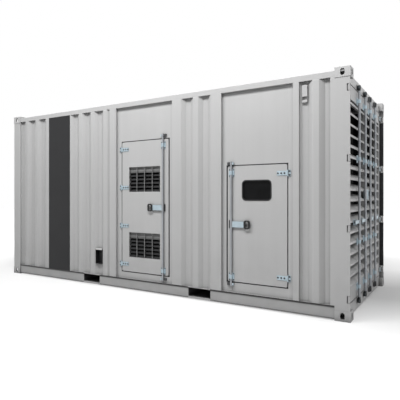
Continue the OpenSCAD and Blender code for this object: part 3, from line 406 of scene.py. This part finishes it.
def turned(bm, centre, axis, rings, sides, spin=0.0):
    """A closed solid of revolution, or a prism for few sides; rings are (radius, offset)
    along the axis."""
    axis = Vector(axis).normalized()
    side = axis.orthogonal().normalized()
    other = axis.cross(side)
    loops = []
    for radius, offset in rings:
        loop = []
        for i in range(sides):
            angle = spin + 2 * math.pi * i / sides
            spoke = side * math.cos(angle) + other * math.sin(angle)
            loop.append(bm.verts.new(Vector(centre) + axis * offset + spoke * radius))
        loops.append(loop)
    for low, high in zip(loops, loops[1:]):
        for i in range(sides):
            j = (i + 1) % sides
            bm.faces.new((low[i], low[j], high[j], high[i]))
    bm.faces.new(list(reversed(loops[0])))
    bm.faces.new(loops[-1])


def bolt(bm, centre, axis, size):
    """A hexagon head with a chamfered crown on a washer; size is the radius of the head."""
    washer = ((1.45, -0.1), (1.45, 0.18), (1.35, 0.25))
    head = ((1.0, 0.2), (1.0, 0.8), (0.85, 0.95))
    turned(bm, centre, axis, [(r * size, z * size) for r, z in washer], 16)
    turned(bm, centre, axis, [(r * size, z * size) for r, z in head], 6, 0.3)


def strip(bm, low, high, soft):
    """A box between two corners with its edges rounded."""
    part = bmesh.ops.create_cube(bm, size=1.0)["verts"]
    low, high = Vector(low), Vector(high)
    size = high - low
    for vert in part:
        vert.co = Vector(((low + high)[i] / 2 + vert.co[i] * size[i] for i in range(3)))
    edges = {edge for vert in part for edge in vert.link_edges}
    bmesh.ops.bevel(bm, geom=list(edges), offset=soft, segments=2, affect="EDGES", profile=0.6)


def make_piece(name, body, material, build):
    """A joined mesh of like pieces, drawn by build into one bmesh, riding on a body."""
    bm = bmesh.new()
    build(bm)
    bmesh.ops.recalc_face_normals(bm, faces=bm.faces)
    mesh = bpy.data.meshes.new(name)
    bm.to_mesh(mesh)
    bm.free()
    mesh.materials.append(material)
    mesh.shade_smooth()
    mesh.set_sharp_from_angle(angle=math.radians(35))
    piece = bpy.data.objects.new(name, mesh)
    bpy.context.scene.collection.objects.link(piece)
    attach(piece, body)


def islands(name):
    """Boxes of the separate solids in a CAD node, as pairs of corners."""
    bm = bmesh.new()
    bm.from_mesh(nodes[name].data)
    bmesh.ops.remove_doubles(bm, verts=bm.verts, dist=1e-6)
    left = set(bm.verts)
    boxes = []
    while left:
        reached = {left.pop()}
        frontier = list(reached)
        while frontier:
            vert = frontier.pop()
            for edge in vert.link_edges:
                other = edge.other_vert(vert)
                if other in left:
                    left.remove(other)
                    reached.add(other)
                    frontier.append(other)
        low = Vector((min(v.co[i] for v in reached) for i in range(3)))
        high = Vector((max(v.co[i] for v in reached) for i in range(3)))
        boxes.append((low, high))
    bm.free()
    return sorted(boxes, key=lambda pair: tuple(round(c, 4) for c in pair[0]))


# Bolts, on the plates that the CAD gives

SIDE_BOLT = 8 * MM
END_BOLT = 10 * MM
GUIDE_BOLT = 6 * MM
BLADE_T = 6 * MM
END_BLADE_T = 12 * MM
GUIDE_PLATE = 4 * MM
GUIDE_HEIGHTS = (85 * MM, 110 * MM)
GUIDE_BOLT_OFF = 30 * MM
GUIDE_BOLT_MARGIN = 11 * MM
BLADE_SHARES = (0.30, 0.60, 0.90)  # of the blade, from its pin
PLATE_REACH = 0.62  # of the plate, from its pin
PLATE_SHARES = (0.2, 0.8)  # of the plate's height
END_STEPS = (20 * MM, 62 * MM)  # from the blade's inner end
END_SHARES = (0.22, 0.78)  # of the blade's height


def door_face(name):
    """The outer face of a side door's leaf."""
    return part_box(name)[0].y


def blade_bolts(bm, hinges, pin_x, face):
    """Three bolts along each hinge blade of a side door."""
    for low, high in islands(hinges):
        reach = high.x - pin_x if high.x - pin_x > pin_x - low.x else low.x - pin_x
        for share in BLADE_SHARES:
            point = (pin_x + reach * share, face - BLADE_T, (low.z + high.z) / 2)
            bolt(bm, point, OUT_SIDE, SIDE_BOLT)


def guide_bolts(bm, guides, axis, across, size, plate_t):
    """Four bolts on each guide plate, beside the ring round the rod."""
    for low, high in islands(guides):
        if not GUIDE_HEIGHTS[0] < high.z - low.z < GUIDE_HEIGHTS[1]:
            continue
        middle = (low + high) / 2
        reach = (high.z - low.z) / 2 - GUIDE_BOLT_MARGIN
        for i in (-1, 1):
            for j in (-1, 1):
                point = middle.copy()
                point[across] += i * GUIDE_BOLT_OFF
                point.z += j * reach
                if axis == OUT_SIDE:
                    point.y = high.y - plate_t
                else:
                    point.x = low.x + plate_t
                bolt(bm, point, axis, size)


for door in ("louvre_door", "window_door"):
    pin = Vector(joints[door + "_hinge"]["pos_m"])
    face = door_face(door + "_leaf")

    def draw(bm):
        blade_bolts(bm, door + "_hinges", pin.x, face)
        guide_bolts(bm, door + "_guides", OUT_SIDE, 0, GUIDE_BOLT, GUIDE_PLATE)

    make_piece(door + "_bolts", door, dark_zinc, draw)


def plate_bolts(bm):
    """Two bolts on each fixed hinge plate of the side doors."""
    pins = [joints["louvre_door_hinge"]["pos_m"][0], joints["window_door_hinge"]["pos_m"][0]]
    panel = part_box("bay_panels")[0].y
    for low, high in islands("side_hinge_plates"):
        pin_x = min(pins, key=lambda x: abs(x - (low.x + high.x) / 2))
        far = low.x if pin_x - low.x > high.x - pin_x else high.x
        x = pin_x + (far - pin_x) * PLATE_REACH
        for share in PLATE_SHARES:
            point = (x, panel - BLADE_T, low.z + (high.z - low.z) * share)
            bolt(bm, point, OUT_SIDE, SIDE_BOLT)


make_piece("hinge_plate_bolts", "container", dark_zinc, plate_bolts)

end_face_x = stile_high.x
for side, name in ((-1, "near"), (1, "far")):
    def draw(bm):
        for low, high in islands(name + "_leaf_hinges"):
            inner = high.y if side < 0 else low.y
            for step in END_STEPS:
                for share in END_SHARES:
                    z = low.z + (high.z - low.z) * share
                    point = (end_face_x + END_BLADE_T, inner + side * step, z)
                    bolt(bm, point, OUT_END, END_BOLT)
        guide_bolts(bm, name + "_leaf_guides", OUT_END, 1, GUIDE_BOLT, GUIDE_PLATE)

    make_piece(name + "_end_bolts", name + "_end_door", zinc, draw)


# Clips that hold the side doors' handles, beside the rods

CLIP_SPAN = (18 * MM, 34 * MM)  # from the rod's axis
CLIP_T = 16 * MM
CLIP_HALF = 52 * MM
for door, free in (("louvre_door", 1), ("window_door", -1)):
    rod = Vector(joints[door + "_lock_turn"]["pos_m"])
    face = door_face(door + "_leaf")
    grip_low, grip_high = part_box(door + "_grip")
    middle = (grip_low.z + grip_high.z) / 2

    def draw(bm):
        x0, x1 = sorted(rod.x + free * off for off in CLIP_SPAN)
        strip(bm, (x0, face - CLIP_T, middle - CLIP_HALF), (x1, face, middle + CLIP_HALF), 4 * MM)

    make_piece(door + "_clip", door, black, draw)


# Seals

def side_door_seals(bm):
    """Rubber in the gaps round the side doors, on the frame's returns and clear of the leaves;
    deep in the gap beside the hinges, and with a lip on the panel at the free edge."""
    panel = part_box("bay_panels")[0].y
    gap = 13 * MM
    hinge_t, free_t, lip_w, level_t = 8 * MM, 9 * MM, 7 * MM, 10 * MM
    soft, lip_soft = 1.2 * MM, 0.8 * MM
    front, deep = panel - 2 * MM, panel + 22 * MM
    for leaf, free in (("louvre_door_leaf", 1), ("window_door_leaf", -1)):
        low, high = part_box(leaf)
        bottom, top = low.z - gap, high.z + gap
        hinged = low.x - gap if free > 0 else high.x + gap
        x0, x1 = sorted((hinged, hinged + free * hinge_t))
        strip(bm, (x0, panel + 2 * MM, bottom), (x1, deep, top), soft)
        edge = high.x + gap if free > 0 else low.x - gap
        x0, x1 = sorted((edge, edge - free * free_t))
        strip(bm, (x0, front, bottom), (x1, deep, top), soft)
        x0, x1 = sorted((edge, edge + free * lip_w))
        strip(bm, (x0, front, bottom), (x1, panel, top), lip_soft)
        left, right = sorted((hinged + free * hinge_t, edge - free * free_t))
        strip(bm, (left, front, bottom), (right, deep, bottom + level_t), soft)
        strip(bm, (left, front, top - level_t), (right, deep, top), soft)


make_piece("side_door_seals", "container", rubber, side_door_seals)


def post_seals(bm):
    """Rubber on the inner faces of the louvred end's posts, between the hinge lugs."""
    post_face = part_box("louvre_end_posts")[1].x
    plate = 10 * MM
    thick = 4 * MM
    lug_clear = 22 * MM
    shortest = 60 * MM
    hinges = islands("near_leaf_hinges")
    stops = [stile_low.z]
    for box_low, box_high in sorted(hinges, key=lambda pair: pair[0].z):
        stops += [box_low.z - lug_clear, box_high.z + lug_clear]
    stops.append(stile_high.z)
    for side in (-1, 1):
        outer = side * (cad_high.y - plate)
        y0, y1 = sorted((outer, outer - side * thick))
        for bottom, top in zip(stops[::2], stops[1::2]):
            if top - bottom > shortest:
                strip(bm, (end_face_x - 10 * MM, y0, bottom), (post_face - 4 * MM, y1, top), 1.2 * MM)


make_piece("post_seals", "container", rubber, post_seals)


def meeting_seal(bm):
    """A rubber lip on the near leaf's meeting edge."""
    low, high = stile_low, stile_high
    start = (low.x + 20 * MM, high.y, low.z + 4 * MM)
    end = (high.x - 6 * MM, high.y + 5 * MM, high.z - 4 * MM)
    strip(bm, start, end, 1.5 * MM)


make_piece("meeting_seal", "near_end_door", rubber, meeting_seal)


# Stage: floor, world, lamps and camera

FLOOR_GREY = (0.52, 0.52, 0.52, 1)
FLOOR_HALF = 40.0
# Each glow is a centre, a span of distances from it and the strengths at the ends of the span:
# white far off, and painted shadow on the floor: less glow beside the louvred end, and a glow below zero that
# darkens the floor behind the blind end
FLOOR_GLOW = (
    ((3.2, 0.6, 0.0), (0.4, 2.2), (0.14, 0.50)),
    ((0.0, 0.0, 0.0), (4.0, 8.0), (0.0, 0.50)),
    # painted shadow: a glow below zero, which darkens the floor behind the blind end
    ((-3.3, 1.0, 0.0), (0.4, 1.8), (-0.34, 0.0)),
)
WORLD_LIGHT = 0.17
# Name, place, target, size and watts
LAMPS = (
    ("key", (0.6, -4.4, 7.0), (0.6, -0.4, 2.1), (7, 1.3), 530),
    ("end_fill", (7.6, 0.5, 6.6), (3, 0, 2.0), (4, 3), 170),
    ("top", (0, 0, 9.5), (0, 0, 0), (10, 8), 60),
    ("back_fill", (-0.5, 9.0, 3.0), (-0.5, 1.2, 1.6), (7, 3), 190),
    ("blind_fill", (-9.5, -0.5, 3.0), (-3, 0, 1.6), (4, 3), 120),
)
CAMERA_PLACE = (4.080, -6.161, 1.419)
CAMERA_TURN = 31.53
CAMERA_LENS = 38.2
CAMERA_SHIFT = -0.0085


def seen_by(tree, first, *others):
    """1 for rays of any of the named kinds, and 0 for the rest."""
    path = add(tree, "ShaderNodeLightPath")
    seen = path.outputs[first]
    for kind in others:
        seen = math_node(tree, "MAXIMUM", seen, path.outputs[kind])
    return seen


def add_floor():
    """A pale floor that takes the shadow near the housing and turns white further off, with painted shadow beside
    the louvred end and behind the blind end.
    """
    material, tree, bsdf = new_material("floor")
    tree.nodes.remove(bsdf)
    output = tree.nodes["Material Output"]
    seen = seen_by(tree, "Is Camera Ray", "Is Glossy Ray")
    glow = add(tree, "ShaderNodeEmission", {"Color": (1, 1, 1, 1)})
    place = object_place(tree)
    level = 0.0
    for centre, span, glows in FLOOR_GLOW:
        away = add(tree, "ShaderNodeVectorMath", operation="DISTANCE")
        tree.links.new(place, away.inputs[0])
        away.inputs[1].default_value = centre
        level = math_node(tree, "ADD", level, remap(tree, away.outputs["Value"], span, glows))
    tree.links.new(math_node(tree, "MULTIPLY", seen, level), glow.inputs["Strength"])
    matt = add(tree, "ShaderNodeBsdfDiffuse", {"Color": FLOOR_GREY})
    both = add(tree, "ShaderNodeAddShader")
    tree.links.new(matt.outputs["BSDF"], both.inputs[0])
    tree.links.new(glow.outputs["Emission"], both.inputs[1])
    tree.links.new(both.outputs["Shader"], output.inputs["Surface"])
    mesh = bpy.data.meshes.new("floor")
    half = FLOOR_HALF
    corners = [(-half, -half, 0), (half, -half, 0), (half, half, 0), (-half, half, 0)]
    mesh.from_pydata(corners, [], [(0, 1, 2, 3)])
    mesh.materials.append(material)
    floor = bpy.data.objects.new("floor", mesh)
    bpy.context.scene.collection.objects.link(floor)


def set_world():
    """White to the camera and to reflections, and a soft even light otherwise."""
    world = bpy.data.worlds.new("studio")
    bpy.context.scene.world = world
    world.use_nodes = True
    tree = world.node_tree
    seen = seen_by(tree, "Is Camera Ray", "Is Glossy Ray", "Is Transmission Ray")
    background = tree.nodes["Background"]
    background.inputs["Color"].default_value = (1, 1, 1, 1)
    tree.links.new(remap(tree, seen, (0, 1), (WORLD_LIGHT, 1.0)), background.inputs["Strength"])


def add_lamp(name, place, target, size, watts):
    """A rectangular lamp that looks at a target."""
    lamp = bpy.data.lights.new(name, "AREA")
    lamp.shape = "RECTANGLE"
    lamp.size, lamp.size_y = size
    lamp.energy = watts
    holder = bpy.data.objects.new(name, lamp)
    holder.location = place
    holder.rotation_euler = (Vector(target) - Vector(place)).to_track_quat("-Z", "Y").to_euler()
    bpy.context.scene.collection.objects.link(holder)


def add_camera():
    """The photograph's view, fitted to the corner castings."""
    data = bpy.data.cameras.new("camera")
    data.sensor_width = 36.0
    data.lens = CAMERA_LENS
    data.shift_y = CAMERA_SHIFT
    camera = bpy.data.objects.new("camera", data)
    camera.location = CAMERA_PLACE
    camera.rotation_euler = (math.radians(90), 0, math.radians(CAMERA_TURN))
    bpy.context.scene.collection.objects.link(camera)
    bpy.context.scene.camera = camera


add_floor()
set_world()
for lamp in LAMPS:
    add_lamp(*lamp)
add_camera()
bpy.context.scene.view_settings.view_transform = "Standard"
